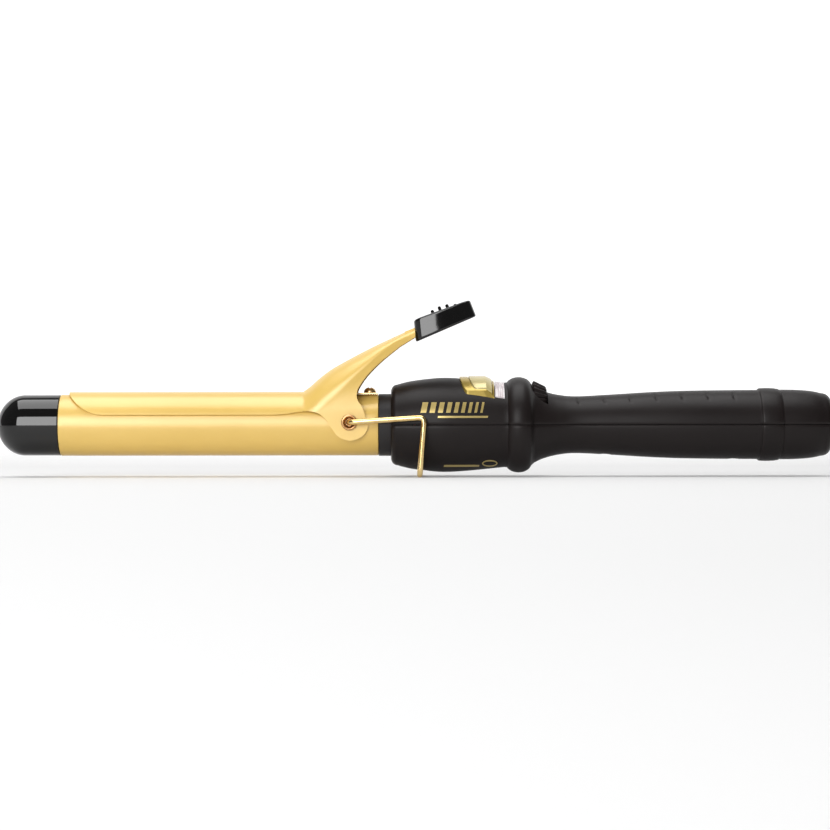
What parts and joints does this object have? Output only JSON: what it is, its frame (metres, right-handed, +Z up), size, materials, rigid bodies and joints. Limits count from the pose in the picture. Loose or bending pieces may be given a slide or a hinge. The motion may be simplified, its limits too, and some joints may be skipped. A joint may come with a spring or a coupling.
{
  "type": "curling iron",
  "caption": "Spring-clamp curling iron with a round heated barrel, thumb lever, fold-away wire stand, two-shell handle, rocker switch, heat dial and swivelling cord gland.",
  "frame": {"origin": "bottom centre of the bounding box, under the handle's front; the wire stand's bar touches z = 0", "axes": "+X along the barrel and handle, from the tip to the cord's end; +Z up through the thumb rest; the barrel axis is level"},
  "size_m": [0.3462, 0.0442, 0.0731],
  "materials": {
    "gold_coating": "satin ceramic coating",
    "gold_plastic": "glossy gold",
    "gold_wire": "polished",
    "bronze": "polished",
    "soft_black": "soft satin",
    "gloss_black": "high gloss",
    "heat_black": "satin",
    "steel": "plated",
    "aluminium": "satin",
    "ceramic": "matte",
    "mica": "matte mica",
    "board_green": "solder mask",
    "part_blue": "dipped",
    "clear": "clear, gloss",
    "led_red": "tinted",
    "lead_red": "glass-fibre sleeve",
    "lead_white": "glass-fibre sleeve",
    "brass": "polished"
  },
  "bodies": {
    "tool": {"tip_cap": "gloss_black", "barrel_tube": "gold_coating", "barrel_collar": "heat_black", "mica_disc": "mica", "heat_spreader_upper": "aluminium", "heat_spreader_lower": "aluminium", "ceramic_heater": "ceramic", "insulating_sleeve": "mica", "thermal_fuse": "steel", "thermistor": "ceramic", "heater_lead_live": "lead_red", "heater_lead_neutral": "lead_white", "sensor_lead": "lead_white", "clamp_spring": "bronze", "spring_screw": "bronze", "pivot_rivet_near": "bronze", "pivot_rivet_far": "bronze", "upper_shell": "soft_black", "lower_shell": "soft_black", "switch_bezel": "gold_plastic", "switch_body": "heat_black", "indicator_lens": "clear", "indicator_led": "led_red", "heat_control": "aluminium", "circuit_board": "board_green", "triac": "steel", "film_capacitor": "part_blue", "contact_block": "heat_black", "contact_leaf_front": "brass", "contact_leaf_rear": "brass", "supply_lead_live": "lead_red", "supply_lead_neutral": "lead_white", "shell_screw_1": "steel", "shell_screw_2": "steel", "shell_screw_3": "steel"},
    "clamp": {"clamp": "gold_coating", "thumb_rest": "gloss_black"},
    "stand": {"stand_wire": "gold_wire"},
    "rocker": {"power_rocker": "gold_plastic"},
    "dial": {"heat_dial": "soft_black"},
    "gland": {"cord_gland": "soft_black", "slip_ring_front": "brass", "slip_ring_rear": "brass"}
  },
  "joints": [
    {"name": "clamp_hinge", "type": "hinge", "parent": "tool", "child": "clamp", "pos_m": [-0.0265, 0, 0.02257], "axis": [0, 1, 0], "range_deg": [0, 18], "stiffness_Nm_per_rad": 0.8, "springref_deg": -17.19},
    {"name": "stand_hinge", "type": "hinge", "parent": "tool", "child": "stand", "pos_m": [-0.0265, 0, 0.02257], "axis": [0, 1, 0], "range_deg": [0, 112]},
    {"name": "rocker_hinge", "type": "hinge", "parent": "tool", "child": "rocker", "pos_m": [0.0276, 0, 0.03897], "axis": [0, 1, 0], "range_deg": [0, 4]},
    {"name": "dial_hinge", "type": "hinge", "parent": "tool", "child": "dial", "pos_m": [0.0522, 0, 0.02947], "axis": [1, 0, 0], "range_deg": [0, 270]},
    {"name": "cord_swivel", "type": "hinge", "parent": "tool", "child": "gland", "pos_m": [0.1658, 0, 0.02147], "axis": [1, 0, 0], "continuous": true}
  ]
}
